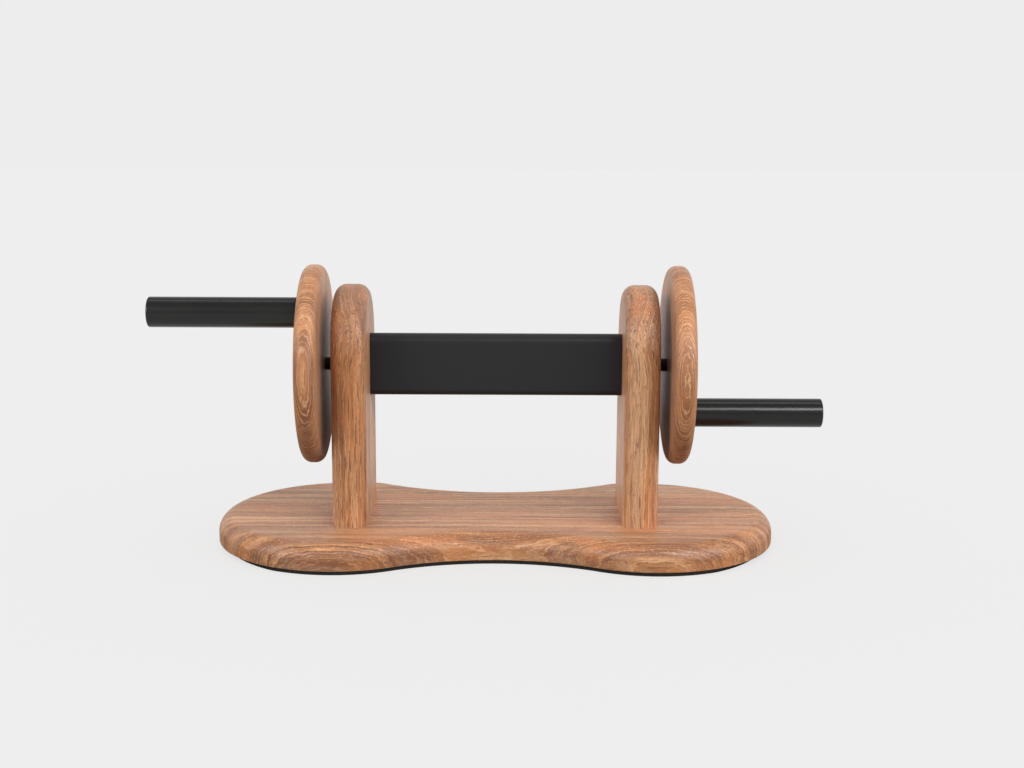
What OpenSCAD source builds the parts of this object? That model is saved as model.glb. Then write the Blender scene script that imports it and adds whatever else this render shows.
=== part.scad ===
// Table-top arm crank trainer: two free-turning handles on wooden crank discs, one axle carried
// by ball bearings in two wooden uprights, a black housing round the axle, and a waisted base.
// X runs along the axle, Y away from the user and Z up.
// The origin is the bottom centre of the sole. Right-hand pieces are drawn at +X, and left-hand
// ones are their mirror images.

/* [Base] */
// Distance from the middle to the centre of each round end
lobe_x = 158; // [130:1:200]
// Radius of each round end
lobe_r = 125.3; // [105:0.1:150]
// Depth of the board across its waist
waist_depth = 174; // [100:1:200]
// Thickness of the wooden board
board_t = 26; // [22:0.5:40]
// Rounding of the board's upper edge
board_top_r = 16; // [2:0.5:18]
// Rounding of the board's lower edge
board_bottom_r = 1.5; // [0.5:0.25:3]
// Thickness of the anti-slip sole
sole_t = 3.6; // [2:0.2:6]
// Distance the sole stands back from the board's edge
sole_inset = 1.4; // [0:0.2:5]
// Distance the sole stands back at the board's two ends
sole_end_inset = 9; // [6:0.5:14]

/* [Uprights] */
// Distance between the inner faces of the uprights
upright_gap = 254; // [200:1:320]
// Thickness of each upright
upright_t = 35; // [29:0.5:45]
// Depth of each upright, front to back
upright_depth = 125; // [100:1:160]
// Height of each upright above the board
upright_h = 234.7; // [190:0.1:300]
// Rounding of the long edges of each upright
upright_edge_r = 12; // [3:0.5:14]
// Height of the axle above the board
axle_above_board = 154; // [125:0.5:190]

/* [Housing] */
// Height of the flat oval housing tube
housing_h = 62.5; // [50:0.5:80]
// Depth of the housing tube, front to back
housing_depth = 20; // [18:0.5:40]
// Corner radius of the housing tube
housing_corner_r = 8; // [4:0.5:8.5]
// Wall of the housing tube
housing_wall = 2; // [1.5:0.25:2.25]
// Length of the blocks that plug into the tube's ends
block_len = 18; // [12:1:30]

/* [Axle and bearings] */
// Diameter of the axle and bore of the bearings
axle_d = 10; // [8:0.5:12]
// Outer diameter of the bearings
bearing_od = 26; // [26:0.5:32]
// Width of the bearings
bearing_w = 8; // [7:0.5:10]
// Number of balls in a bearing
ball_count = 7; // [5:1:8]
// Wall of the steel cup round each bearing
cup_wall = 2; // [1.5:0.25:3]
// Width of the cup's flange, which takes its screws
cup_flange_w = 8; // [8:0.5:12]
// Thickness of the cup's flange, sunk into the upright
cup_flange_t = 2.5; // [2:0.25:3]
// Wall of the sleeves between bearing and hub
sleeve_wall = 1.5; // [1.25:0.25:2]

/* [Crank discs] */
// Diameter of each crank disc
disc_d = 200; // [180:1:250]
// Thickness of each crank disc
disc_t = 21; // [18:0.5:30]
// Rounding of the disc's rim
disc_edge_r = 8.5; // [2:0.5:9]
// Gap between an upright and its disc
disc_gap = 10.5; // [6:0.5:20]
// Diameter of the hub's flange, sunk into the disc
hub_flange_d = 54; // [50:1:70]
// Thickness of the hub's flange
hub_flange_t = 4; // [3.5:0.5:5]
// Diameter of the hub's boss
hub_boss_d = 22; // [20:0.5:26]
// Distance between the boss and the disc's inner face
hub_set_back = 5.5; // [3:0.5:8]
// Diameter of the circle of hub screws
hub_screw_circle = 40; // [36:1:44]

/* [Handles] */
// Distance from the axle to the middle of each handle
crank_r = 72.5; // [50:0.5:82]
// Angle of the left handle from upright, towards the user
crank_angle = 36.2; // [0:0.1:359.9]
// Diameter of each handle
grip_d = 30; // [27:0.1:36]
// Length of each handle
grip_len = 145.9; // [110:0.1:180]
// Rounding of the handle's ends
grip_edge_r = 1.8; // [0.5:0.1:2.5]
// Diameter of the spindle that a handle turns on
spindle_d = 10; // [9:0.5:12]
// Diameter of the bore in the handle that takes the bushes
bush_od = 20; // [18:0.5:22]
// Length of each bush
bush_len = 16; // [10:1:24]
// Distance from the handle's free end to its outer bush
bush_set_back = 13; // [11:0.5:20]

/* [Hidden] */
$fn = 64;

// Fits and clearances
running_fit = 0.05;   // radial, between a shaft and what turns on it
slide_fit = 0.15;     // between two pieces that are pushed together
hub_fit = 0.02;       // radial, between the axle and its hubs
axle_clearance = 1;   // radial, where the axle only passes through
end_play = 0.4;       // lengthwise, between a bush and what it runs against
grip_gap = 0.5;       // lengthwise, between a handle and its disc
tube_gap = 0.2;       // between the housing tube and each upright
hole_clearance = 0.4; // on diameter, round a bolt in its washer
bolt_clearance = 1;   // on diameter, round a bolt in wood
head_clearance = 2;   // on diameter, round a washer in its recess
cut = 1;              // how far a cut runs past the face it opens

// Heights
board_top = sole_t + board_t;
axle_z = board_top + axle_above_board;

// Outline of the base: the radius of the arc that joins the two round ends at the waist
waist_half = waist_depth / 2;
waist_arc_r = (lobe_x * lobe_x + waist_half * waist_half - lobe_r * lobe_r) / (2 * (lobe_r - waist_half));
waist_arc_y = waist_half + waist_arc_r;
join_angle = atan2(waist_arc_y, lobe_x);
waist_bite = 0.3;     // how far the waist's arcs reach past where they would only touch the ends

// Places along X, on the right-hand side
upright_in = upright_gap / 2;
upright_out = upright_in + upright_t;
upright_mid = upright_in + upright_t / 2;
block_in = upright_in - block_len;
bearing_set_back = 2;
bearing_out = upright_out - bearing_set_back;
bearing_in = bearing_out - bearing_w;
cup_lip = 2;
cup_in = bearing_in - cup_lip;
disc_in = upright_out + disc_gap;
disc_out = disc_in + disc_t;
boss_in = disc_in + hub_set_back;

// Outline of the sole's ends: a flatter arc leaves the round end at this angle from the X axis
sole_turn = 65;
sole_end_r = lobe_r - sole_inset;
sole_turn_x = lobe_x + sole_end_r * cos(sole_turn);
sole_turn_y = sole_end_r * sin(sole_turn);
sole_tip_x = lobe_x + lobe_r - sole_end_inset;
sole_tip_cut = sole_tip_x * sole_tip_x - sole_turn_x * sole_turn_x - sole_turn_y * sole_turn_y;
sole_arc_x = sole_tip_cut / (2 * (sole_tip_x - sole_turn_x));
sole_edge_r = 0.6;

// Bolts, dowels and screws of the frame
bolt_d = 8;
bolt_len = 40;
bolt_head_d = 13;
bolt_head_h = 8;
bolt_washer_d = 20;
bolt_washer_t = 2;
bolt_recess = 11;
bolt_from_edge = 26.5;
bolt_y = upright_depth / 2 - bolt_from_edge;
bolt_seat = sole_t + bolt_recess;
insert_d = 12;
insert_len = 25;
dowel_d = 10;
dowel_len = 40;
dowel_y = 14;
dowel_in_board = 15;
block_screw_d = 4.5;
block_screw_len = 34;
block_screw_from_edge = 11.25;
block_screw_z = housing_h / 2 - block_screw_from_edge;
set_screw_d = 4;
set_screw_len = 8;
set_screw_socket = 2;
set_screw_sunk = 0.2;

// Bearings: rings, balls and the cup they sit in. The shares are of the space round the axle.
bearing_space = bearing_od - axle_d;
ball_share = 0.3;
ring_share = 0.13;
pitch_r = (axle_d + bearing_od) / 4;
ball_d = ball_share * bearing_space;
race_r = ball_d / 2 + running_fit;
ring_wall = ring_share * bearing_space;
inner_land_r = axle_d / 2 + ring_wall;
outer_land_r = bearing_od / 2 - ring_wall;
cage_wall = 1.2;
cage_rim = 0.4;
cage_w = ball_d + 2 * cage_rim;
cup_od = bearing_od + 2 * cup_wall;
cup_lip_w = 3;
cup_lip_d = bearing_od - 2 * cup_lip_w;
cup_flange_d = cup_od + 2 * cup_flange_w;
cup_screw_d = 3.5;
cup_screw_len = 14;
cup_screw_circle = (cup_od + cup_flange_d) / 2;
circlip_t = 1;
circlip_w = 3.25;
circlip_od = axle_d + 2 * circlip_w;
circlip_groove = 0.5;
through_d = circlip_od;

// Axle ends and hubs
axle_flat = 1;
flat_len = 12;
end_wall = 2;
end_washer_w = 3;
end_washer_d = axle_d + 2 * end_washer_w;
end_washer_t = 1.6;
washer_recess = 4.5;
end_bolt_d = axle_d - 2 * end_wall;
end_bolt_len = 16;
end_bolt_head_ratio = 1.75;
end_bolt_head_d = end_bolt_head_ratio * end_bolt_d;
end_bolt_head_h = 2.6;
washer_seat = disc_out - washer_recess;
axle_set_back = 0.3;
axle_end = washer_seat - axle_set_back;
sleeve_od = axle_d + 2 * sleeve_wall;
hub_screw_d = 4;
hub_screw_len = 14;

// Handles
spindle_thread_d = 8;
spindle_insert_d = 14;
spindle_insert_len = 15;
spindle_thread_len = 14;
collar_d = bush_od;
collar_t = 2;
collar_flat = 1.5;
flats_across = collar_d - 2 * collar_flat;
thrust_washer_t = 1;
thrust_in = disc_out + collar_t;
bush_in = thrust_in + thrust_washer_t + end_play;
counterbore_d = collar_d + head_clearance;
grip_in = disc_out + grip_gap;
grip_out = grip_in + grip_len;
outer_bush_out = grip_out - bush_set_back;
spindle_end = outer_bush_out + end_play;
spindle_washer_d = (spindle_d + bush_od) / 2;
spindle_washer_t = 1.2;
spindle_screw_d = 5;
spindle_screw_len = 12;
spindle_screw_head_d = 9;
spindle_screw_head_h = 3;
cap_t = 4;
cap_recess = 0.6;

// Screw heads
head_ratio = 2;
socket_ratio = 0.55;
button_socket_ratio = 0.42;
tip_ratio = 0.2;

// Helpers

// A solid round bar along X, from one place to another
module rod(d, from, to) {
    translate([from, 0, 0]) rotate([0, 90, 0]) cylinder(d = d, h = to - from);
}

// A round tube along X
module tube(od, id, from, to) {
    difference() {
        rod(od, from, to);
        rod(id, from - cut, to + cut);
    }
}

// Both sides of a piece that is drawn on the right
module both_sides() {
    children();
    mirror([1, 0, 0]) children();
}

// The same along the axle, where the left side is also half a turn round
module both_cranks() {
    children();
    left_crank() children();
}

module left_crank() rotate([180, 0, 0]) mirror([1, 0, 0]) children();

module on_axle() translate([0, 0, axle_z]) children();

// The left-hand crank pieces are the right-hand ones mirrored and turned half round the axle
module left_of_crank() on_axle() left_crank() translate([0, 0, -axle_z]) children();

// The right handle's own axis: down and away from the user at rest
module on_handle() {
    on_axle() rotate([crank_angle, 0, 0]) translate([0, 0, -crank_r]) children();
}

// A rectangle with round corners, centred
module rounded_rect(w, h, r) {
    square([w - 2 * r, h], center = true);
    square([w, h - 2 * r], center = true);
    for (x = [-1, 1], y = [-1, 1]) translate([x * (w / 2 - r), y * (h / 2 - r)]) circle(r);
}

// One side of such a rectangle: x runs out from the axis of turning
module half_rounded(reach, w, r) {
    translate([0, -w / 2]) square([reach - r, w]);
    translate([0, r - w / 2]) square([reach, w - 2 * r]);
    for (y = [-1, 1]) translate([reach - r, y * (w / 2 - r)]) circle(r);
}

// A countersunk wood screw along X: its head is flush at x = 0 and its tip is at x = -len
module wood_screw(d, len) {
    head_d = head_ratio * d;
    head_h = (head_d - d) / 2;
    difference() {
        union() {
            rod(d, -len + d, 0);
            translate([-len, 0, 0]) rotate([0, 90, 0]) cylinder(d1 = d * tip_ratio, d2 = d, h = d);
            translate([-head_h, 0, 0]) rotate([0, 90, 0]) cylinder(d1 = d, d2 = head_d, h = head_h);
        }
        translate([-head_h, 0, 0]) rotate([0, 90, 0])
            cylinder(d = head_d * socket_ratio, h = head_h + cut, $fn = 6);
    }
}

// The hole that such a screw fills
module wood_screw_hole(d, len) {
    head_d = head_ratio * d;
    head_h = (head_d - d) / 2;
    rod(d, -len, cut);
    translate([-head_h, 0, 0]) rotate([0, 90, 0]) cylinder(d1 = d, d2 = head_d, h = head_h);
    rod(head_d, 0, cut);
}

// Places of the screws and bolts
module at_bolts() both_sides() for (y = [-bolt_y, bolt_y]) translate([upright_mid, y, 0]) children();

module at_dowels() {
    both_sides() for (y = [-dowel_y, dowel_y])
        translate([upright_mid, y, board_top - dowel_in_board]) children();
}

module at_block_screws() {
    on_axle() for (z = [-block_screw_z, block_screw_z])
        translate([block_in, 0, z]) mirror([1, 0, 0]) children();
}

// These start a quarter turn round, clear of the end block screws above and below the axle
module at_cup_screws() {
    on_axle() for (i = [0:2]) rotate([90 + i * 120, 0, 0])
        translate([upright_out, 0, cup_screw_circle / 2]) children();
}

module at_hub_screws() {
    on_axle() rotate([crank_angle, 0, 0]) for (i = [0:3]) rotate([45 + i * 90, 0, 0])
        translate([disc_out, 0, hub_screw_circle / 2]) children();
}

// Base

// A plate with two round ends and a waist. Each end is turned round its own centre, and a block
// between them is cut round the centres of the waist's two arcs, so that every edge is rounded.
module waisted_plate(t, inset, top_r, bottom_r) {
    end_r = lobe_r - inset;
    arc_r = waist_arc_r + inset + waist_bite;
    join_y = end_r * sin(join_angle);
    difference() {
        translate([-lobe_x, -join_y, 0]) cube([2 * lobe_x, 2 * join_y, t]);
        for (side = [-1, 1]) translate([0, side * waist_arc_y, 0])
            rotate_extrude($fn = 96) waist_waste(arc_r, t, top_r, bottom_r, $fn = 48);
    }
    for (side = [-1, 1]) translate([side * lobe_x, 0, 0])
        rotate_extrude($fn = 96) end_profile(end_r, t, top_r, bottom_r, $fn = 48);
}

// Half the section of a round end: x runs outwards, to an upper and a lower corner
module end_profile(r, t, top_r, bottom_r) {
    difference() {
        square([r, t]);
        translate([r - top_r, t - top_r]) square(top_r + cut);
        translate([r - bottom_r, -cut]) square([bottom_r + cut, bottom_r + cut]);
    }
    intersection() {
        translate([r - top_r, t - top_r]) circle(top_r);
        translate([r - top_r, t - top_r]) square(top_r);
    }
    intersection() {
        translate([r - bottom_r, bottom_r]) circle(bottom_r);
        translate([r - bottom_r, 0]) square(bottom_r);
    }
}

// Half the section of what a waist arc takes away, with what the two corners lose
module waist_waste(r, t, top_r, bottom_r) {
    translate([0, -cut]) square([r, t + 2 * cut]);
    difference() {
        translate([0, t - top_r]) square([r + top_r, top_r + cut]);
        translate([r + top_r, t - top_r]) circle(top_r);
    }
    difference() {
        translate([0, -cut]) square([r + bottom_r, bottom_r + cut]);
        translate([r + bottom_r, bottom_r]) circle(bottom_r);
    }
}

module base_board() {
    color("sandybrown") difference() {
        translate([0, 0, sole_t]) waisted_plate(board_t, 0, board_top_r, board_bottom_r);
        at_bolts() {
            translate([0, 0, sole_t - cut])
                cylinder(d = bolt_washer_d + head_clearance, h = bolt_recess + cut);
            cylinder(d = bolt_d + bolt_clearance, h = board_top + cut);
        }
        at_dowels() cylinder(d = dowel_d, h = dowel_len);
    }
}

module base_sole() {
    color("black") difference() {
        waisted_plate(sole_t, sole_inset, sole_edge_r, sole_edge_r);
        both_sides() difference() {
            translate([sole_arc_x, -lobe_r, -cut]) cube([2 * lobe_r, 2 * lobe_r, sole_t + 2 * cut]);
            translate([sole_arc_x, 0, -2 * cut])
                cylinder(r = sole_tip_x - sole_arc_x, h = sole_t + 4 * cut, $fn = 180);
        }
    }
}

// Uprights

module upright() {
    arch_r = upright_depth / 2;
    arch_z = board_top + upright_h - arch_r;
    color("peru") difference() {
        union() {
            translate([upright_mid, 0, board_top]) linear_extrude(upright_h - arch_r)
                rounded_rect(upright_t, upright_depth, upright_edge_r);
            translate([upright_mid, 0, arch_z]) rotate([90, 0, 90]) rotate_extrude(angle = 180, $fn = 180)
                half_rounded(arch_r, upright_t, upright_edge_r);
        }
        on_axle() {
            rod(through_d, upright_in - cut, upright_out);
            rod(cup_od, cup_in, upright_out + cut);
            rod(cup_flange_d + slide_fit, upright_out - cup_flange_t, upright_out + cut);
        }
        at_cup_screws() wood_screw_hole(cup_screw_d, cup_screw_len);
        at_block_screws() wood_screw_hole(block_screw_d, block_screw_len);
        at_bolts() translate([0, 0, board_top - cut]) cylinder(d = insert_d, h = insert_len + cut);
        at_dowels() cylinder(d = dowel_d, h = dowel_len + cut);
    }
}

module upright_dowels() color("burlywood") at_dowels() cylinder(d = dowel_d, h = dowel_len);

module upright_bolts() {
    color("silver") at_bolts() difference() {
        union() {
            translate([0, 0, bolt_seat - bolt_washer_t]) cylinder(d = bolt_d, h = bolt_len);
            translate([0, 0, bolt_seat - bolt_washer_t - bolt_head_h])
                cylinder(d = bolt_head_d, h = bolt_head_h);
        }
        translate([0, 0, bolt_seat - bolt_washer_t - bolt_head_h - cut])
            cylinder(d = bolt_head_d * socket_ratio, h = bolt_head_h / 2 + cut, $fn = 6);
    }
}

module upright_bolt_washers() {
    color("silver") at_bolts() translate([0, 0, bolt_seat - bolt_washer_t]) difference() {
        cylinder(d = bolt_washer_d, h = bolt_washer_t);
        translate([0, 0, -cut]) cylinder(d = bolt_d + hole_clearance, h = bolt_washer_t + 2 * cut);
    }
}

module upright_inserts() {
    color("goldenrod") at_bolts() translate([0, 0, board_top]) difference() {
        cylinder(d = insert_d, h = insert_len);
        translate([0, 0, -cut]) cylinder(d = bolt_d, h = insert_len + 2 * cut);
    }
}

// Housing round the axle

module oval_bar(w, h, r, from, to) {
    translate([from, 0, 0]) rotate([90, 0, 90]) linear_extrude(to - from) rounded_rect(w, h, r);
}

module housing_tube() {
    reach = upright_in - tube_gap;
    inner_r = housing_corner_r - housing_wall;
    color("dimgray") on_axle() difference() {
        oval_bar(housing_depth, housing_h, housing_corner_r, -reach, reach);
        oval_bar(
            housing_depth - 2 * housing_wall, housing_h - 2 * housing_wall, inner_r,
            -reach - cut, reach + cut
        );
        both_sides() set_screw_place() translate([0, 0, -cut])
            cylinder(d = set_screw_d, h = set_screw_len + cut);
    }
}

module end_block() {
    shrink = housing_wall + slide_fit;
    color("gray") difference() {
        on_axle() difference() {
            oval_bar(
                housing_depth - 2 * shrink, housing_h - 2 * shrink, housing_corner_r - shrink,
                block_in, upright_in
            );
            rod(axle_d + 2 * axle_clearance, block_in - cut, upright_in + cut);
            set_screw_place() cylinder(d = set_screw_d, h = set_screw_len);
        }
        at_block_screws() wood_screw_hole(block_screw_d, block_screw_len);
    }
}

module end_block_screws() {
    color("silver") both_sides() at_block_screws() wood_screw(block_screw_d, block_screw_len);
}

// The set screws come up from under the tube, into the end blocks
module set_screw_place() translate([block_in + block_len / 2, 0, -housing_h / 2]) children();

module housing_set_screws() {
    color("dimgray") on_axle() both_sides() set_screw_place() difference() {
        translate([0, 0, set_screw_sunk]) cylinder(d = set_screw_d, h = set_screw_len - set_screw_sunk);
        translate([0, 0, -cut]) cylinder(d = set_screw_d * socket_ratio, h = set_screw_socket + cut, $fn = 6);
    }
}

// Bearings

module bearing_cup() {
    color("silver") difference() {
        on_axle() difference() {
            union() {
                rod(cup_od, cup_in, upright_out);
                rod(cup_flange_d, upright_out - cup_flange_t, upright_out);
            }
            rod(cup_lip_d, cup_in - cut, upright_out);
            rod(bearing_od, bearing_in, upright_out + cut);
        }
        at_cup_screws() wood_screw_hole(cup_screw_d, cup_screw_len);
    }
}

module bearing_cup_screws() {
    color("silver") both_sides() at_cup_screws() wood_screw(cup_screw_d, cup_screw_len);
}

// The groove that the balls run in, round the axle
module race() {
    translate([(bearing_in + bearing_out) / 2, 0, 0]) rotate([0, 90, 0])
        rotate_extrude() translate([pitch_r, 0]) circle(race_r);
}

module outer_ring() {
    color("lightgray") on_axle() difference() {
        tube(bearing_od, 2 * outer_land_r, bearing_in, bearing_out);
        race();
    }
}

module inner_ring() {
    color("lightgray") on_axle() difference() {
        tube(2 * inner_land_r, axle_d, bearing_in, bearing_out);
        race();
    }
}

module at_balls() {
    on_axle() for (i = [0:ball_count - 1]) rotate([i * 360 / ball_count, 0, 0])
        translate([(bearing_in + bearing_out) / 2, 0, pitch_r]) children();
}

module bearing_balls() color("white") at_balls() sphere(d = ball_d);

module ball_cage() {
    mid = (bearing_in + bearing_out) / 2;
    color("goldenrod") difference() {
        on_axle() tube(2 * pitch_r + cage_wall, 2 * pitch_r - cage_wall, mid - cage_w / 2, mid + cage_w / 2);
        at_balls() sphere(r = race_r);
    }
}

// Axle, and what is fixed on it

module axle() {
    color("silver") on_axle() difference() {
        rod(axle_d, -axle_end, axle_end);
        both_cranks() {
            rod(end_bolt_d, axle_end - end_bolt_len, axle_end + cut);
            axle_flat_cut();
        }
        both_sides() tube(axle_d + cut, axle_d - 2 * circlip_groove, bearing_in - circlip_t, bearing_in);
    }
}

// The flat at the axle's end that turns the hub
module axle_flat_cut() {
    translate([axle_end - flat_len, -axle_d, axle_d / 2 - axle_flat])
        cube([flat_len + cut, 2 * axle_d, axle_d]);
}

module axle_circlips() {
    color("gray") on_axle() both_sides() difference() {
        tube(circlip_od, axle_d - 2 * circlip_groove, bearing_in - circlip_t, bearing_in);
        translate([bearing_in - circlip_t - cut, -circlip_t, 0])
            cube([circlip_t + 2 * cut, 2 * circlip_t, circlip_od]);
    }
}

module sleeve() color("dimgray") on_axle() tube(sleeve_od, axle_d + 2 * hub_fit, bearing_out, boss_in);

module crank_disc() {
    color("peru") difference() {
        on_axle() difference() {
            translate([disc_in + disc_t / 2, 0, 0]) rotate([0, 90, 0]) rotate_extrude($fn = 180)
                half_rounded(disc_d / 2, disc_t, disc_edge_r);
            rod(sleeve_od + 2 * slide_fit, disc_in - cut, disc_out);
            rod(hub_boss_d, boss_in, disc_out + cut);
            rod(hub_flange_d + slide_fit, disc_out - hub_flange_t, disc_out + cut);
        }
        at_hub_screws() wood_screw_hole(hub_screw_d, hub_screw_len);
        on_handle() rod(spindle_insert_d, disc_out - spindle_insert_len, disc_out + cut);
    }
}

module hub() {
    color("dimgray") difference() {
        on_axle() difference() {
            union() {
                rod(hub_boss_d, boss_in, disc_out);
                rod(hub_flange_d, disc_out - hub_flange_t, disc_out);
            }
            difference() {
                rod(axle_d + 2 * hub_fit, boss_in - cut, disc_out);
                translate([hub_fit, 0, hub_fit]) axle_flat_cut();
            }
            rod(end_washer_d + head_clearance, washer_seat, disc_out + cut);
        }
        at_hub_screws() wood_screw_hole(hub_screw_d, hub_screw_len);
    }
}

module hub_screws() {
    color("silver") {
        at_hub_screws() wood_screw(hub_screw_d, hub_screw_len);
        left_of_crank() at_hub_screws() wood_screw(hub_screw_d, hub_screw_len);
    }
}

module axle_end_washers() {
    color("silver") on_axle() both_cranks()
        tube(end_washer_d, end_bolt_d + hole_clearance, washer_seat, washer_seat + end_washer_t);
}

module axle_end_bolts() {
    head = washer_seat + end_washer_t;
    color("silver") on_axle() both_cranks() difference() {
        union() {
            rod(end_bolt_d, axle_end - end_bolt_len + cut, head);
            rod(end_bolt_head_d, head, head + end_bolt_head_h);
        }
        translate([head + end_bolt_head_h / 3, 0, 0]) rotate([0, 90, 0])
            cylinder(d = end_bolt_head_d * button_socket_ratio, h = end_bolt_head_h, $fn = 6);
    }
}

// Handles, each on a spindle screwed into its disc

// A piece of the right handle, drawn on both cranks
module both_handles() {
    on_handle() children();
    left_of_crank() on_handle() children();
}

module spindle_inserts() {
    color("goldenrod") both_handles()
        tube(spindle_insert_d, spindle_thread_d, disc_out - spindle_insert_len, disc_out);
}

module spindle() {
    color("silver") on_handle() difference() {
        union() {
            rod(spindle_thread_d, disc_out - spindle_thread_len, disc_out);
            intersection() {
                rod(collar_d, disc_out, thrust_in);
                translate([disc_out, -collar_d, -flats_across / 2])
                    cube([collar_t, 2 * collar_d, flats_across]);
            }
            rod(spindle_d, disc_out, spindle_end);
        }
        rod(spindle_screw_d, spindle_end - spindle_screw_len - cut, spindle_end + cut);
    }
}

module thrust_washers() {
    color("ivory") both_handles()
        tube(collar_d, spindle_d + 2 * running_fit, thrust_in, thrust_in + thrust_washer_t);
}

module grip() {
    color("black") on_handle() difference() {
        translate([(grip_in + grip_out) / 2, 0, 0]) rotate([0, 90, 0]) rotate_extrude()
            half_rounded(grip_d / 2, grip_len, grip_edge_r);
        rod(bush_od, grip_in - cut, grip_out + cut);
        rod(counterbore_d, grip_in - cut, bush_in);
    }
}

module inner_bush() {
    color("ivory") on_handle() tube(bush_od, spindle_d + 2 * running_fit, bush_in, bush_in + bush_len);
}

module outer_bush() {
    color("ivory") on_handle()
        tube(bush_od, spindle_d + 2 * running_fit, outer_bush_out - bush_len, outer_bush_out);
}

module spindle_end_washers() {
    color("silver") both_handles()
        tube(spindle_washer_d, spindle_screw_d + hole_clearance, spindle_end, spindle_end + spindle_washer_t);
}

module spindle_end_screws() {
    head = spindle_end + spindle_washer_t;
    color("silver") both_handles() difference() {
        union() {
            rod(spindle_screw_d, spindle_end - spindle_screw_len, head);
            rod(spindle_screw_head_d, head, head + spindle_screw_head_h);
        }
        translate([head + spindle_screw_head_h / 2, 0, 0]) rotate([0, 90, 0])
            cylinder(d = spindle_screw_head_d * socket_ratio, h = spindle_screw_head_h, $fn = 6);
    }
}

module grip_cap() {
    color("black") on_handle() rod(bush_od, grip_out - cap_recess - cap_t, grip_out - cap_recess);
}

base_board();
base_sole();
mirror([1, 0, 0]) upright();  // left_upright
upright();  // right_upright
upright_dowels();
upright_bolts();
upright_bolt_washers();
upright_inserts();
housing_tube();
mirror([1, 0, 0]) end_block();  // left_end_block
end_block();  // right_end_block
end_block_screws();
housing_set_screws();
mirror([1, 0, 0]) bearing_cup();  // left_bearing_cup
bearing_cup();  // right_bearing_cup
bearing_cup_screws();
mirror([1, 0, 0]) outer_ring();  // left_outer_ring
outer_ring();  // right_outer_ring
mirror([1, 0, 0]) inner_ring();  // left_inner_ring
inner_ring();  // right_inner_ring
mirror([1, 0, 0]) bearing_balls();  // left_bearing_balls
bearing_balls();  // right_bearing_balls
mirror([1, 0, 0]) ball_cage();  // left_ball_cage
ball_cage();  // right_ball_cage
axle();
axle_circlips();
mirror([1, 0, 0]) sleeve();  // left_sleeve
sleeve();  // right_sleeve
left_of_crank() crank_disc();  // left_crank_disc
crank_disc();  // right_crank_disc
left_of_crank() hub();  // left_hub
hub();  // right_hub
hub_screws();
axle_end_washers();
axle_end_bolts();
spindle_inserts();
left_of_crank() spindle();  // left_spindle
spindle();  // right_spindle
thrust_washers();
left_of_crank() grip();  // left_grip
grip();  // right_grip
left_of_crank() inner_bush();  // left_inner_bush
inner_bush();  // right_inner_bush
left_of_crank() outer_bush();  // left_outer_bush
outer_bush();  // right_outer_bush
spindle_end_washers();
spindle_end_screws();
left_of_crank() grip_cap();  // left_grip_cap
grip_cap();  // right_grip_cap
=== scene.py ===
import math
from collections import namedtuple

import bpy
from mathutils import Matrix, Vector

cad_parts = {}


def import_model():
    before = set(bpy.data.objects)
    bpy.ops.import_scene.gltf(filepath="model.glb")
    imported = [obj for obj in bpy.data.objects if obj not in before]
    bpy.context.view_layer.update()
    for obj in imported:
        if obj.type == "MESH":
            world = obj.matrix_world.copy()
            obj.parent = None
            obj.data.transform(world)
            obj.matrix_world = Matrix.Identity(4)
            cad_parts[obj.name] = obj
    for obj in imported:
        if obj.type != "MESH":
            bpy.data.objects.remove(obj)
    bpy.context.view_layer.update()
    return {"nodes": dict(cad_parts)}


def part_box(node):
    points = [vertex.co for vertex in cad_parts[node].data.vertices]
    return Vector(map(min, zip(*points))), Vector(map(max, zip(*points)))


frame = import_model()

# A tabletop arm crank trainer: oiled wooden base, uprights and crank discs, satin black housing
# and handles. Lengths are in metres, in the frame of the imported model, and the marks of the
# materials are measured in millimetres.

MM = 0.001
NODES = frame["nodes"]


def middle(node):
    low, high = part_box(node)
    return (Vector(low) + Vector(high)) / 2


AXLE = middle("axle")


# Shader expressions

NOISE_MEAN = 0.5

# A Mix node's sockets for colours, by number, since their names come more than once
MIX_FACTOR, MIX_FIRST, MIX_SECOND, MIX_RESULT = 0, 6, 7, 2


class Value:
    """One output of a shader node. Arithmetic on it adds Math nodes."""

    def __init__(self, shader, socket):
        self.shader = shader
        self.socket = socket

    def math(self, operation, *others):
        return self.shader.node(
            "Math", {"operation": operation}, dict(enumerate((self,) + others)),
        )

    def __add__(self, other):
        return self.math("ADD", other)

    def __sub__(self, other):
        return self.math("SUBTRACT", other)

    def __rsub__(self, other):
        return self.shader.node("Math", {"operation": "SUBTRACT"}, {0: other, 1: self})

    def __mul__(self, other):
        return self.math("MULTIPLY", other)

    def __truediv__(self, other):
        return self.math("DIVIDE", other)

    def __pow__(self, other):
        return self.math("POWER", other)

    __radd__ = __add__
    __rmul__ = __mul__

    def step(self, low, high):
        """0 below low, 1 above high, and smooth between."""
        return self.shader.node(
            "MapRange",
            {"interpolation_type": "SMOOTHSTEP"},
            {"Value": self, "From Min": low, "From Max": high},
            "Result",
        )

    def near(self, centre, inner, outer):
        """1 within inner of centre, 0 beyond outer, and smooth between."""
        return 1.0 - (self - centre).math("ABSOLUTE").step(inner, outer)


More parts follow.
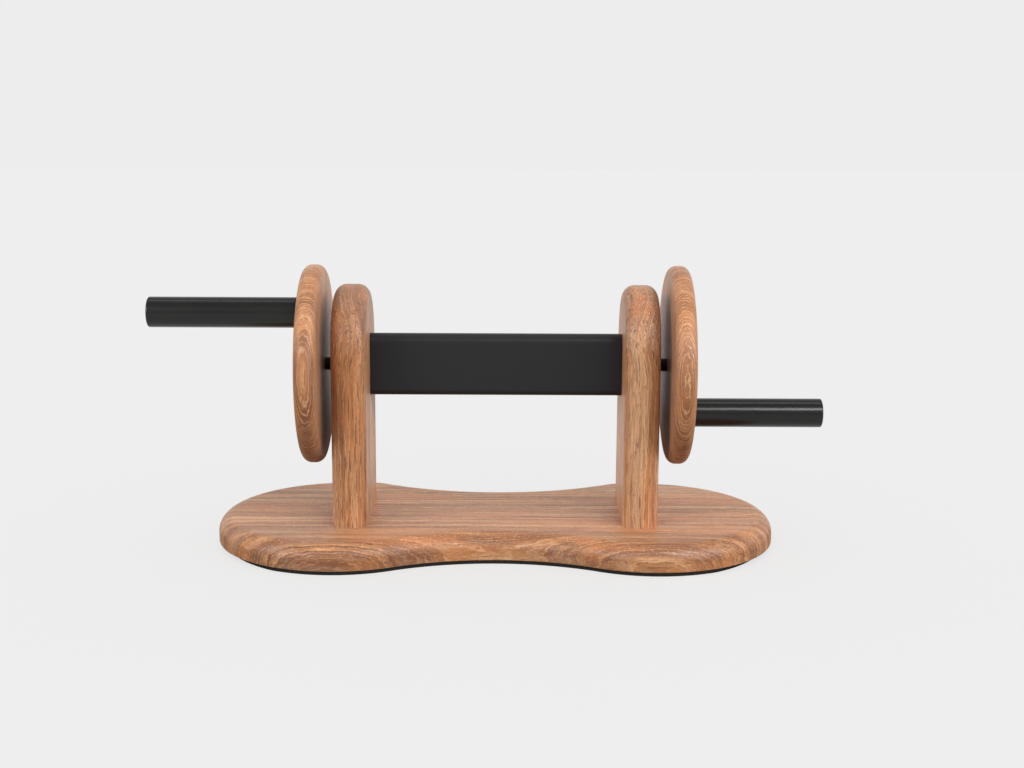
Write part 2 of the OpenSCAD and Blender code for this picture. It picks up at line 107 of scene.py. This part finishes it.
class Shader:
    """A material or world in the making. node() is the one way that it gets its nodes."""

    def __init__(self, name, made_from=bpy.data.materials, closed_by="OutputMaterial"):
        self.material = made_from.new(name)
        self.material.use_nodes = True
        self.tree = self.material.node_tree
        self.tree.nodes.clear()
        self.closed_by = closed_by

    def node(self, kind, settings=None, inputs=None, output=0):
        made = self.tree.nodes.new("ShaderNode" + kind)
        for key, setting in (settings or {}).items():
            if key == "stops":
                self.set_stops(made.color_ramp, setting)
            else:
                setattr(made, key, setting)
        for key, given in (inputs or {}).items():
            if isinstance(given, Value):
                self.tree.links.new(given.socket, made.inputs[key])
            else:
                made.inputs[key].default_value = given
        if output is not None:
            return Value(self, made.outputs[output])

    def set_stops(self, ramp, stops):
        while len(ramp.elements) < len(stops):
            ramp.elements.new(0.5)
        for element, (place, tone) in zip(ramp.elements, stops):
            element.position = place
            element.color = (*tone, 1.0)

    def axes(self, point):
        """The three values of a vector."""
        apart = self.node("SeparateXYZ", inputs={0: point}).socket.node.outputs
        return [Value(self, apart[axis]) for axis in "XYZ"]

    def place(self):
        """The piece's own coordinates, in millimetres, as three values."""
        return [value * (1.0 / MM) for value in self.axes(self.node("TexCoord", output="Object"))]

    def noise(self, x, y, z, detail=2.0, roughness=0.5):
        """Noise between 0 and 1, about NOISE_MEAN on average."""
        point = self.node("CombineXYZ", inputs={"X": x, "Y": y, "Z": z})
        return self.node(
            "TexNoise",
            {"noise_dimensions": "3D"},
            {"Vector": point, "Scale": 1.0, "Detail": detail, "Roughness": roughness},
            "Fac",
        )

    def marks(self, lengths_mm, detail=2.0, roughness=0.5):
        """Noise whose marks have the given lengths along X, Y and Z."""
        places = [value / length for value, length in zip(self.place(), lengths_mm)]
        return self.noise(*places, detail=detail, roughness=roughness)

    def blend(self, factor, first, second):
        """A colour between two colours."""
        return self.node(
            "Mix",
            {"data_type": "RGBA", "clamp_factor": True},
            {MIX_FACTOR: factor, MIX_FIRST: colour(first), MIX_SECOND: colour(second)},
            MIX_RESULT,
        )

    def bump(self, height, distance_mm, strength):
        return self.node(
            "Bump", inputs={"Height": height, "Distance": distance_mm * MM, "Strength": strength},
        )

    def finish(self, base_color, roughness, bump, **uniform):
        """Closes the material. What is uniform goes on the shader's own sockets."""
        inputs = {"Base Color": colour(base_color), "Roughness": roughness, "Normal": bump}
        for key, given in uniform.items():
            inputs[key.replace("_", " ")] = given
        self.close(self.node("BsdfPrincipled", inputs=inputs))
        return self.material

    def close(self, surface):
        self.node(self.closed_by, inputs={"Surface": surface}, output=None)


def colour(given):
    """A colour that a socket takes: three numbers get an alpha of 1."""
    if isinstance(given, Value):
        return given
    return (*given, 1.0)


# Wood

CREAM = (0.74, 0.43, 0.235)
HONEY = (0.52, 0.225, 0.088)
BROWN = (0.27, 0.105, 0.043)
UMBER = (0.17, 0.062, 0.026)
PORE = (0.10, 0.038, 0.018)
GREYED = (0.36, 0.225, 0.150)
AMBER = (0.62, 0.215, 0.065)
TONE_STOPS = [(0.0, UMBER), (0.28, BROWN), (0.60, HONEY), (1.0, CREAM)]

# The marks in the grain: their length along it and width across it, and the axes that the seed
# moves them on
Marks = namedtuple("Marks", "long_mm wide_mm detail roughness shifted", defaults=(2.0, 0.5, ("along",)))
WANDER = Marks(long_mm=30.0, wide_mm=14.0)
SWAY = Marks(long_mm=190.0, wide_mm=80.0, detail=1.0)
SWELL = Marks(long_mm=150.0, wide_mm=70.0, detail=1.0, shifted=("across",))
RIPPLE = Marks(long_mm=22.0, wide_mm=8.0, detail=3.0)
CRINKLE = Marks(long_mm=6.0, wide_mm=4.0)
STREAK = Marks(long_mm=150.0, wide_mm=4.0, detail=4.0, roughness=0.55)
PATCH = Marks(long_mm=220.0, wide_mm=17.0, shifted=("across",))
GREY = Marks(long_mm=170.0, wide_mm=11.0, detail=3.0, shifted=("across",))
GLOW = Marks(long_mm=110.0, wide_mm=24.0, shifted=("through",))
FADE = Marks(long_mm=45.0, wide_mm=16.0, shifted=("along", "through"))
FIBRE = Marks(long_mm=16.0, wide_mm=0.9, detail=3.0, roughness=0.65, shifted=("through",))
GROOVE = Marks(long_mm=26.0, wide_mm=1.4, roughness=0.6)
VESSEL = Marks(long_mm=6.0, wide_mm=0.8, detail=1.0)

# The heights of noise between which each kind of mark comes in
FADE_BAND = (0.30, 0.62)
GREY_BAND = (0.48, 0.68)
AMBER_BAND = (0.46, 0.68)
FIBRE_BAND = (0.38, 0.72)
RAY_BAND = (0.54, 0.70)
GROOVE_BAND = (0.60, 0.70)
VESSEL_BAND = (0.60, 0.68)
MORE_GROOVES = 0.08

# How far the growth rings wander, in millimetres, and how their pace and tones change. The sizes
# of those changes are given out from the heart first, and then along the grain.
SWAY_MM, SWELL_MM, RIPPLE_MM, CRINKLE_MM = 16.0, 14.0, 3.0, 3.4
PACE_RINGS, PACE_OUT_MM, PACE_LONG_MM = 2.6, 9.0, 500.0
GROUP_OUT_RINGS, GROUP_LONG_MM = 2.8, 900.0
RAYS_PER_RADIAN, RAY_OUT_MM, RAY_LONG_MM = 60.0, 6.0, 2.0

# Shares in the tone: of groups of rings and single rings, and of streaks and wider patches
GROUP_SHARE, RING_SHARE = 1.2, 0.30
STREAK_SHARE, PATCH_SHARE = 0.70, 0.60
TONE_SPREAD = 1.5
MIDDLE_TONE = 0.42
STOPS_FROM, STOPS_SPAN = 0.17, 0.72
# Where the painted shade near the heart is full, and where it has faded out, in millimetres from the
# heart
HEART_SHADE_MM = (28.0, 70.0)

# A ring runs from 0 to 1: its pale line and zone of open pores, as a centre with an inner and an
# outer reach, and its late wood
PALE_LINE = (0.16, 0.03, 0.17)
PORE_ZONE = (0.30, 0.05, 0.40)
LATE_WOOD = (0.50, 1.0)

# How strongly each kind of mark shows, and how much of it comes and goes
PALE_LINE_DEPTH, PALE_LINE_FADES = 0.75, 0.75
LATE_WOOD_DEPTH, LATE_WOOD_FADES = 0.70, 0.6
FIBRE_DEPTH = 0.42
VESSEL_DEPTH = 0.7
PORE_DEPTH, PORE_DEPTH_LEAST, PORES_IN_ZONE = 0.8, 0.1, 0.6
# Stretches of stain and of painted shade and painted light: how far they wander, their core, and how much
# they grey
STAIN_AND_LIGHT_WANDER_MM, STAIN_AND_LIGHT_CORE, STAIN_AND_LIGHT_GREYING = 40.0, 0.1, 1.4
# A pale band along a lower edge: a painted highlight where the edge catches the light
FOOT_HIGHLIGHT_BAND_MM, FOOT_HIGHLIGHT_RIPPLE_MM, FOOT_HIGHLIGHT_DEPTH = (0.5, 1.5), 2.0, 0.6

# Roughness of clean oiled wood and what pores and fibres add to it, and the relief
OILED, PORE_ROUGH, FIBRE_ROUGH = 0.44, 0.3, 0.10
FIBRE_RISE, RING_RISE = 0.35, 0.15
WOOD_BUMP_MM, WOOD_BUMP_STRENGTH = 0.18, 0.6

# A darker, greyer stretch, or a paler one where its depth is below zero: its middle and reach along
# the grain, how dark it is, and how much the grain leans there. On the uprights' tops it is a stain,
# on the discs' bottoms it is painted shade, and on the board's right end it is painted light.
StainAndPaintedLight = namedtuple("StainAndPaintedLight", "middle_mm reach_mm depth lean", defaults=(0.0,))
NO_STAIN_OR_PAINTED_LIGHT = StainAndPaintedLight(middle_mm=0.0, reach_mm=1.0, depth=0.0)


class Log:
    """Wood's own coordinates, in millimetres: along the grain, and on the two axes across it."""

    def __init__(self, shader, grain, seed):
        places = dict(zip("XYZ", shader.place()))
        self.shader = shader
        self.seed = seed
        self.along = places.pop(grain)
        self.across, self.through = places.values()

    def marks(self, kind):
        """Noise between 0 and 1, stretched along the grain."""
        places = {
            "along": self.along / kind.long_mm,
            "across": self.across / kind.wide_mm,
            "through": self.through / kind.wide_mm,
        }
        for axis in kind.shifted:
            places[axis] = places[axis] + self.seed
        return self.shader.noise(*places.values(), detail=kind.detail, roughness=kind.roughness)

    def lean(self, stain_and_light):
        """Tilts the grain within a stretch of stain and of painted light and shade, and returns how
        strong the stretch is at each place.
        """
        past_middle = self.along - stain_and_light.middle_mm
        wandering = past_middle + (self.marks(WANDER) - NOISE_MEAN) * STAIN_AND_LIGHT_WANDER_MM
        stain_and_light_mask = wandering.near(0.0, stain_and_light.reach_mm * STAIN_AND_LIGHT_CORE, stain_and_light.reach_mm)
        self.across = self.across + stain_and_light_mask * past_middle * stain_and_light.lean
        return stain_and_light_mask


def partly(value, share):
    """Lets a value take effect in this share, and leaves the rest at full."""
    return value * share + (1.0 - share)


def wood(
    name, grain, pith, ring_mm, seed, squeeze=1.0, figure=1.0, lines=1.0, bands=1.0, greyed=0.3,
    amber=0.3, pores=0.7, rays=0.3, tone_shift=0.0, crinkled=1.0, stain_and_light=NO_STAIN_OR_PAINTED_LIGHT, heart_shade_depth=0.0,
    foot_highlight_mm=None,
):
    """Oiled, open-pored wood cut from a log whose grain runs along one axis.

    grain is that axis, and pith the place of the log's heart on the other two axes in millimetres.
    ring_mm is the spacing of the rings, and squeeze how much faster they pass along the first of
    those axes. figure, lines and bands say how much the rings' tones, their edges and the
    lengthwise bands show, and greyed, amber, pores and rays do so for the rest. tone_shift makes
    all of it paler. crinkled says how jagged the rings are, and heart_shade_depth how much darker
    the wood is painted near the heart, as painted shade. foot_highlight_mm is the height of a lower
    edge that is painted pale, as a painted highlight.
    """
    s = Shader(name)
    log = Log(s, grain, seed)
    stain_and_light_mask = log.lean(stain_and_light)

    # Growth rings: wandering cylinders round the heart, each with its own tone
    ripple = log.marks(RIPPLE) - NOISE_MEAN
    sway = (log.marks(SWAY) - NOISE_MEAN) * SWAY_MM + ripple * RIPPLE_MM
    swell = (log.marks(SWELL) - NOISE_MEAN) * SWELL_MM + ripple * RIPPLE_MM
    u = (log.across - pith[0]) * squeeze + sway
    v = log.through - pith[1] + swell
    radius = (u * u + v * v) ** 0.5 + (log.marks(CRINKLE) - NOISE_MEAN) * (CRINKLE_MM * crinkled)
    pace = s.noise(radius / PACE_OUT_MM + seed, log.along / PACE_LONG_MM, 0.0, detail=1.0)
    phase = radius / ring_mm + (pace - NOISE_MEAN) * PACE_RINGS
    ring = phase.math("FRACT")
    ring_tone = s.node("TexWhiteNoise", {"noise_dimensions": "1D"}, {"W": phase - ring + seed})
    group_out = radius / (ring_mm * GROUP_OUT_RINGS) + seed
    group_tone = s.noise(group_out, log.along / GROUP_LONG_MM, 0.0)

    # Tones: of the rings, and of streaks and patches that follow the grain
    rings = (group_tone - NOISE_MEAN) * GROUP_SHARE + (ring_tone - NOISE_MEAN) * RING_SHARE
    streaks = (log.marks(STREAK) - NOISE_MEAN) * STREAK_SHARE
    patches = (log.marks(PATCH) - NOISE_MEAN) * PATCH_SHARE
    tone = rings * (TONE_SPREAD * figure) + (streaks + patches) * (TONE_SPREAD * bands)
    tone = tone + (MIDDLE_TONE + tone_shift)
    # Stretches of stain and painted shade darken the tone, painted light makes it paler, and painted
    # shade darkens it near the heart
    tone = tone - stain_and_light_mask * stain_and_light.depth - (1.0 - radius.step(*HEART_SHADE_MM)) * heart_shade_depth
    tone = tone.math("MINIMUM", 1.0).math("MAXIMUM", 0.0)
    base = s.node("ValToRGB", {"stops": TONE_STOPS}, {0: tone * STOPS_SPAN + STOPS_FROM}, "Color")
    grey = log.marks(GREY).step(*GREY_BAND)
    base = s.blend(grey * greyed + stain_and_light_mask * (STAIN_AND_LIGHT_GREYING * stain_and_light.depth * greyed), base, GREYED)
    base = s.blend(log.marks(GLOW).step(*AMBER_BAND) * amber, base, AMBER)

    # Each ring starts with a pale line, and darkens again at its end
    fade = log.marks(FADE).step(*FADE_BAND)
    pale_line = ring.near(*PALE_LINE) * partly(fade, PALE_LINE_FADES)
    late_wood = ring.step(*LATE_WOOD) * partly(fade, LATE_WOOD_FADES)
    base = s.blend(pale_line * (PALE_LINE_DEPTH * lines), base, CREAM)
    base = s.blend(late_wood * (LATE_WOOD_DEPTH * lines), base, BROWN)

    # Fibres, rays and pores
    fibre = log.marks(FIBRE)
    base = s.blend(fibre.step(*FIBRE_BAND) * FIBRE_DEPTH, base, BROWN)
    turn = v.math("ARCTAN2", u)
    ray = s.noise(turn * RAYS_PER_RADIAN, radius / RAY_OUT_MM + seed, log.along / RAY_LONG_MM)
    base = s.blend(ray.step(*RAY_BAND) * rays, base, CREAM)
    groove = log.marks(GROOVE).step(*(edge - MORE_GROOVES * pores for edge in GROOVE_BAND))
    vessel = log.marks(VESSEL).step(*VESSEL_BAND)
    pore = (groove + vessel * VESSEL_DEPTH).math("MINIMUM", 1.0)
    pore = pore * partly(ring.near(*PORE_ZONE), PORES_IN_ZONE)
    base = s.blend(pore * (pores * PORE_DEPTH + PORE_DEPTH_LEAST), base, PORE)

    # Painted highlight: a pale band along the lower edge, where a rounded edge would catch the light
    if foot_highlight_mm is not None:
        foot_highlight = (log.through + ripple * FOOT_HIGHLIGHT_RIPPLE_MM).near(foot_highlight_mm, *FOOT_HIGHLIGHT_BAND_MM)
        base = s.blend(foot_highlight * FOOT_HIGHLIGHT_DEPTH, base, CREAM)

    height = fibre * FIBRE_RISE - pore + ring * RING_RISE
    roughness = OILED + pore * PORE_ROUGH + fibre * FIBRE_ROUGH
    return s.finish(
        base, roughness, s.bump(height, WOOD_BUMP_MM, WOOD_BUMP_STRENGTH), Specular_IOR_Level=0.4,
        Coat_Weight=0.30, Coat_Roughness=0.40, Sheen_Weight=0.15, Sheen_Roughness=0.35,
        Sheen_Tint=(1.0, 0.84, 0.66, 1.0),
    )


def disc_wood(side, seed, underside_shade_depth):
    """Nested ovals round the disc's front edge: the heart lies just in front of it. The wood darkens and
    greys towards the disc's bottom: painted shade on its underside.
    """
    low = Vector(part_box(side + "_crank_disc")[0]) / MM
    heart_in_front = 20.0
    return wood(
        side + "_disc_wood", "Z", pith=(middle(side + "_crank_disc").x / MM, low.y - heart_in_front),
        ring_mm=2.8, seed=seed, squeeze=1.9, lines=1.15, bands=0.8, greyed=0.15, pores=0.4, rays=0.2,
        # Painted shade: the wood darkens and greys towards the disc's bottom edge
        stain_and_light=StainAndPaintedLight(middle_mm=low.z, reach_mm=75.0, depth=underside_shade_depth),
    )


def upright_wood(side, outward, seed):
    """Long dashes, with a darker, swirling top. The right upright is painted paler, as painted light from
    the lamps on the right.
    """
    centre = middle(side + "_upright") / MM
    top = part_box(side + "_upright")[1][2] / MM
    heart_inward, heart_in_front = 52.0, 30.0
    # The right upright is painted paler than the left: painted light from the lamps on the right
    middle_shift, painted_light_to_the_right = 0.27, 0.19
    return wood(
        side + "_upright_wood", "Z",
        pith=(centre.x - outward * heart_inward, centre.y - heart_in_front),
        ring_mm=4.4, seed=seed, figure=0.65, lines=0.6, bands=1.5, greyed=0.32, amber=0.42, pores=0.9,
        rays=0.12, tone_shift=middle_shift + outward * painted_light_to_the_right, crinkled=0.35,
        stain_and_light=StainAndPaintedLight(middle_mm=top, reach_mm=80.0, depth=0.55, lean=outward * -0.20),
    )


def board_wood():
    """Arches on the board's front edge, darker near the heart below that edge as painted shade, a paler
    stretch at the right end as painted light, and straight bands on its top.
    """
    heart_in_front = 20.0
    corner = Vector(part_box("base_board")[0]) / MM
    return wood(
        "board_wood", "X", pith=(corner.y - heart_in_front, corner.z), ring_mm=2.5, seed=5.3, figure=1.5,
        lines=0.65, bands=1.5, greyed=0.50, amber=0.5, pores=0.55, rays=0.28, tone_shift=0.10,
        # Painted light: a paler stretch towards the board's right end, where the right-hand lamps fall
        # Painted shade near the heart, which lies just in front of the bottom edge: it darkens the front
        # edge so that the top stays paler
        stain_and_light=StainAndPaintedLight(middle_mm=160.0, reach_mm=170.0, depth=-0.10), heart_shade_depth=0.46,
        # Painted highlight along the board's bottom edge
        foot_highlight_mm=corner.z,
    )


def dowel_wood():
    """Plain straight grain, from far out in the log."""
    return wood("dowel_wood", "Z", pith=(-400.0, -400.0), ring_mm=2.4, seed=1.7)


# Metals, rubber and plastics

def marked(
    name, dark, light, roughness, marks_mm, marks_rough, bump_mm, bump_strength=0.4, detail=3.0,
    fineness=0.6, clouds_mm=None, clouds_share=0.0, clouds_rough=0.0, **uniform,
):
    """A material with fine marks, which its bump follows, and in most cases wider clouds.

    Its tone goes from dark to light with the marks, and in clouds_share of it with the clouds.
    Both add to the roughness. marks_mm and clouds_mm are lengths along X, Y and Z.
    """
    s = Shader(name)
    marks = s.marks(marks_mm, detail, fineness)
    tone = marks
    roughness = roughness + marks * marks_rough
    if clouds_mm is not None:
        clouds = s.marks(clouds_mm)
        tone = marks * (1.0 - clouds_share) + clouds * clouds_share
        roughness = roughness + clouds * clouds_rough
    bump = s.bump(marks, bump_mm, bump_strength)
    return s.finish(s.blend(tone, dark, light), roughness, bump, **uniform)


def brushed_black():
    """Satin black anodised aluminium, finely brushed along X."""
    return marked(
        "black_housing", (0.003, 0.003, 0.003), (0.007, 0.007, 0.008), roughness=0.40,
        marks_mm=(40.0, 0.35, 0.35), marks_rough=0.10, bump_mm=0.02, bump_strength=0.35,
        clouds_mm=(60.0, 25.0, 25.0), clouds_rough=0.08, Specular_IOR_Level=0.35,
    )


def grip_black():
    """Satin black with fine lengthwise drawing marks and a cloudy tone."""
    return marked(
        "black_grip", (0.004, 0.004, 0.004), (0.010, 0.010, 0.009), roughness=0.17,
        marks_mm=(70.0, 0.9, 0.9), marks_rough=0.10, bump_mm=0.03,
        clouds_mm=(45.0, 12.0, 12.0), clouds_share=1.0, clouds_rough=0.05, Specular_IOR_Level=0.34,
    )


def rubber():
    """Matt black rubber with a fine grain."""
    return marked(
        "sole_rubber", (0.012, 0.010, 0.009), (0.026, 0.021, 0.018), roughness=0.72,
        marks_mm=(1.2, 1.2, 1.2), marks_rough=0.16, bump_mm=0.12, bump_strength=0.5, fineness=0.5,
        Specular_IOR_Level=0.2,
    )


def bush_plastic():
    """Pale moulded plastic with a fine, slightly uneven surface."""
    return marked(
        "bush_plastic", (0.70, 0.68, 0.60), (0.80, 0.78, 0.71), roughness=0.42,
        marks_mm=(0.8, 0.8, 0.8), marks_rough=0.12, bump_mm=0.03, detail=2.0, fineness=0.5,
        clouds_mm=(14.0, 14.0, 14.0), clouds_share=1.0,
    )


def metal(name, dark, light, roughness, mark_mm=1.2, stretch=(1.0, 1.0, 1.0), bump_mm=0.015):
    """Bare or plated metal whose marks are stretched along the axes given."""
    clouds_per_mark = 0.12
    lengths = [mark_mm * length for length in stretch]
    return marked(
        name, dark, light, roughness, marks_mm=lengths, marks_rough=0.12, bump_mm=bump_mm,
        clouds_mm=[length / clouds_per_mark for length in lengths], clouds_share=0.4,
        clouds_rough=0.06, Metallic=1.0,
    )


# Dressing the pieces

def dress(material, *names):
    """Gives these CAD nodes a material."""
    for name in names:
        mesh = NODES[name].data
        mesh.materials.clear()
        mesh.materials.append(material)


def both(name):
    """The names of a left piece and its right twin."""
    return ["left_" + name, "right_" + name]


def dress_wood():
    # The left disc's bottom gets heavier painted shade than the right one's
    dress(disc_wood("left", seed=3.1, underside_shade_depth=0.85), "left_crank_disc")
    dress(disc_wood("right", seed=7.7, underside_shade_depth=0.15), "right_crank_disc")
    dress(upright_wood("left", outward=-1, seed=14.1), "left_upright")
    dress(upright_wood("right", outward=1, seed=18.7), "right_upright")
    dress(board_wood(), "base_board")
    dress(dowel_wood(), "upright_dowels")


def dress_black():
    dress(rubber(), "base_sole")
    dress(brushed_black(), "housing_tube")
    dress(grip_black(), *both("grip"), *both("grip_cap"))
    dress(
        metal("black_steel", (0.014, 0.014, 0.014), (0.03, 0.03, 0.032), roughness=0.34),
        "housing_set_screws", "axle_circlips", *both("sleeve"), *both("hub"),
    )


def dress_bare():
    dress(
        metal("zinc_fastener", (0.42, 0.42, 0.43), (0.62, 0.62, 0.60), roughness=0.28),
        "upright_bolts", "upright_bolt_washers", "end_block_screws", "bearing_cup_screws", "hub_screws",
        "axle_end_washers", "axle_end_bolts", "spindle_end_washers", "spindle_end_screws",
    )
    dress(
        metal("brass_insert", (0.55, 0.38, 0.16), (0.72, 0.54, 0.26), roughness=0.26),
        "upright_inserts", "spindle_inserts",
    )
    dress(
        metal("cast_block", (0.40, 0.40, 0.41), (0.56, 0.56, 0.57), roughness=0.42, mark_mm=2.5),
        *both("end_block"),
    )
    dress(
        metal("bearing_steel", (0.50, 0.50, 0.51), (0.68, 0.68, 0.69), roughness=0.14, bump_mm=0.004),
        *both("bearing_cup"), *both("outer_ring"), *both("inner_ring"), *both("bearing_balls"),
    )
    dress(
        metal("brass_cage", (0.50, 0.34, 0.15), (0.70, 0.52, 0.25), roughness=0.24),
        *both("ball_cage"),
    )
    dress(
        metal(
            "ground_steel", (0.42, 0.42, 0.43), (0.60, 0.60, 0.61), roughness=0.20,
            stretch=(0.3, 3.0, 3.0),
        ),
        "axle", *both("spindle"),
    )
    dress(bush_plastic(), "thrust_washers", *both("inner_bush"), *both("outer_bush"))


# Setting: floor, light and camera

WHITE = (1.0, 1.0, 1.0, 1.0)
BACKDROP = 0.847
CEILING_DIM, CEILING_BAND = 0.40, (0.25, 0.95)
ROOM_DIM, ROOM_BAND = 0.32, (-0.98, -0.80)
FLOOR_ALBEDO = 0.25
FLOOR_GLOW = 0.708
FLOOR_HALF = 6.0
FLOOR_MIDDLE_FROM, FLOOR_BACK_FROM = 0.13, 0.7


def all_but(name, left_out):
    """A collection that stands for every object but those given, for a light's receivers."""
    made = bpy.data.collections.new(name)
    for obj in left_out:
        made.objects.link(obj)
    for entry in made.collection_objects:
        entry.light_linking.link_state = "EXCLUDE"
    return made


def floor_paper():
    """Pale paper that glows a little, so that it meets the backdrop without a line."""
    s = Shader("floor_paper")
    paper = s.node("BsdfDiffuse", inputs={"Color": colour([FLOOR_ALBEDO] * 3)})
    glow = s.node("Emission", inputs={"Color": WHITE, "Strength": FLOOR_GLOW})
    s.close(s.node("AddShader", inputs={0: paper, 1: glow}))
    return s.material


def floor_sheet(name, near, far, material):
    mesh = bpy.data.meshes.new(name)
    corners = [(-FLOOR_HALF, near, 0), (FLOOR_HALF, near, 0), (FLOOR_HALF, far, 0), (-FLOOR_HALF, far, 0)]
    mesh.from_pydata(corners, [], [(0, 1, 2, 3)])
    mesh.materials.append(material)
    sheet = bpy.data.objects.new(name, mesh)
    bpy.context.scene.collection.objects.link(sheet)
    return sheet


def floor():
    """Three sheets: the front one lights only the black pieces, the middle one all but the discs,
    and the back one the whole trainer.
    """
    material = floor_paper()
    black = {"housing_tube", *both("grip"), *both("grip_cap")}
    parts = (
        ("floor_front", -FLOOR_HALF, FLOOR_MIDDLE_FROM, set(NODES) - black),
        ("floor_middle", FLOOR_MIDDLE_FROM, FLOOR_BACK_FROM, both("crank_disc")),
        ("floor_back", FLOOR_BACK_FROM, FLOOR_HALF, []),
    )
    sheets = []
    for name, near, far, unlit in parts:
        sheet = floor_sheet(name, near, far, material)
        if unlit:
            left_out = [NODES[node] for node in sorted(unlit)]
            sheet.light_linking.receiver_collection = all_but("lit_by_" + name, left_out)
        sheets.append(sheet)
    return sheets


def world():
    """A pale wall all round, darker towards the ceiling and in the room behind the camera."""
    s = Shader("studio", bpy.data.worlds, "OutputWorld")
    bpy.context.scene.world = s.material
    inward, upward = s.axes(s.node("TexCoord", output="Generated"))[1:]
    dim = upward.step(*CEILING_BAND) * CEILING_DIM + (1.0 - inward.step(*ROOM_BAND)) * ROOM_DIM
    s.close(s.node("Background", inputs={"Color": WHITE, "Strength": BACKDROP - dim}))


Lamp = namedtuple("Lamp", "name place width height watts")
LAMPS = (
    Lamp("overhead", place=(0.0, 0.3, 2.0), width=1.8, height=0.3, watts=5.0),
    Lamp("right", place=(2.0, -1.2, 1.2), width=1.0, height=1.0, watts=26.0),
    Lamp("front_right", place=(0.95, -1.7, 1.75), width=1.0, height=0.45, watts=22.0),
    Lamp("left", place=(-1.9, -1.6, 1.25), width=1.3, height=1.2, watts=32.0),
)


def softbox(lamp, lit):
    """A soft rectangular lamp that faces the axle's middle."""
    data = bpy.data.lights.new(lamp.name, "AREA")
    data.shape = "RECTANGLE"
    data.size = lamp.width
    data.size_y = lamp.height
    data.energy = lamp.watts
    box = bpy.data.objects.new(lamp.name, data)
    box.location = lamp.place
    box.rotation_mode = "QUATERNION"
    box.rotation_quaternion = (AXLE - Vector(lamp.place)).to_track_quat("-Z", "Y")
    bpy.context.scene.collection.objects.link(box)
    box.light_linking.receiver_collection = lit


def lights(sheets):
    """Soft lamps that light the trainer. The floor, which glows by itself, is left out of them."""
    lit = all_but("lit_by_lamps", sheets)
    for lamp in LAMPS:
        softbox(lamp, lit)


def camera():
    """Stands in front of the trainer, a little above it, and looks slightly down."""
    lens, sensor = 55.8056, 36.0
    yaw, pitch, roll = -0.0035156, 0.1974436, 0.0050567
    offset = Vector((0.010678, -1.579821, 0.295586))
    data = bpy.data.cameras.new("camera")
    data.sensor_width = sensor
    data.lens = lens
    eye = bpy.data.objects.new("camera", data)
    turn = (
        Matrix.Rotation(yaw, 4, "Z") @ Matrix.Rotation(math.pi / 2 - pitch, 4, "X")
        @ Matrix.Rotation(roll, 4, "Z")
    )
    eye.matrix_world = Matrix.Translation(AXLE + offset) @ turn
    bpy.context.scene.collection.objects.link(eye)
    bpy.context.scene.camera = eye


dress_wood()
dress_black()
dress_bare()
world()
lights(floor())
camera()
bpy.context.scene.view_settings.view_transform = "Standard"
